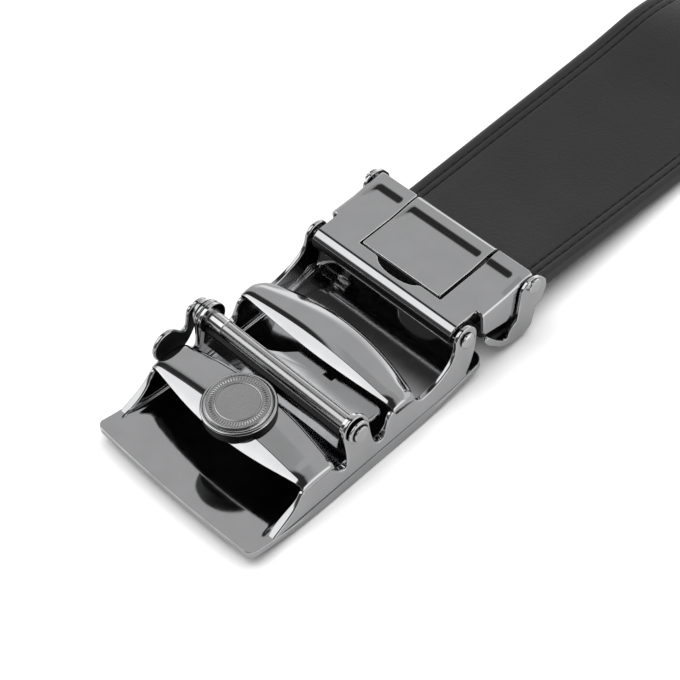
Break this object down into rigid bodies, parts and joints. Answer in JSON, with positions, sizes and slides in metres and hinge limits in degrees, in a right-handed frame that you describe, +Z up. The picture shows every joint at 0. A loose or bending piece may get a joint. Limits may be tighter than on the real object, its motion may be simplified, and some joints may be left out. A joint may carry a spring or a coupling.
{
  "type": "ratchet belt",
  "caption": "Ratchet belt end lying face down: cast buckle with two bridges and round medallion, sprung pawl and lever, hinged strap clamp with latch flap, and leather strap.",
  "frame": {"origin": "centre of the buckle plate's flat middle, where it rests on the floor", "axes": "+X along the belt, from the buckle's open end to the strap's tail; +Z up, away from the floor; +Y across the belt, towards the release lever"},
  "size_m": [0.1897, 0.0435, 0.0156],
  "materials": {
    "gunmetal": "polished black nickel plating",
    "dark_gunmetal": "polished black nickel plating",
    "black_leather": "smooth, slight sheen"
  },
  "bodies": {
    "strap_end": {"strap": "black_leather", "clamp_base": "gunmetal", "clamp_lid": "gunmetal", "flap_rod": "gunmetal", "ear_pin_near": "gunmetal", "ear_pin_far": "gunmetal"},
    "buckle": {"buckle_frame": "gunmetal", "medallion": "gunmetal"},
    "ratchet": {"ratchet_rod": "gunmetal", "pawl": "dark_gunmetal", "release_lever": "gunmetal"},
    "flap": {"latch_flap": "gunmetal"}
  },
  "joints": [
    {"name": "buckle_hinge", "type": "hinge", "parent": "strap_end", "child": "buckle", "pos_m": [0.0256, 0, 0.012], "axis": [0, 1, 0], "range_deg": [-10, 120]},
    {"name": "ratchet_release", "type": "hinge", "parent": "buckle", "child": "ratchet", "pos_m": [-0.002, 0, 0.0125], "axis": [0, -1, 0], "range_deg": [0, 18], "stiffness_Nm_per_rad": 0.006, "springref_deg": -17.19},
    {"name": "latch_flap_hinge", "type": "hinge", "parent": "strap_end", "child": "flap", "pos_m": [0.0424, 0, 0.0132], "axis": [0, 1, 0], "range_deg": [0, 100]}
  ]
}
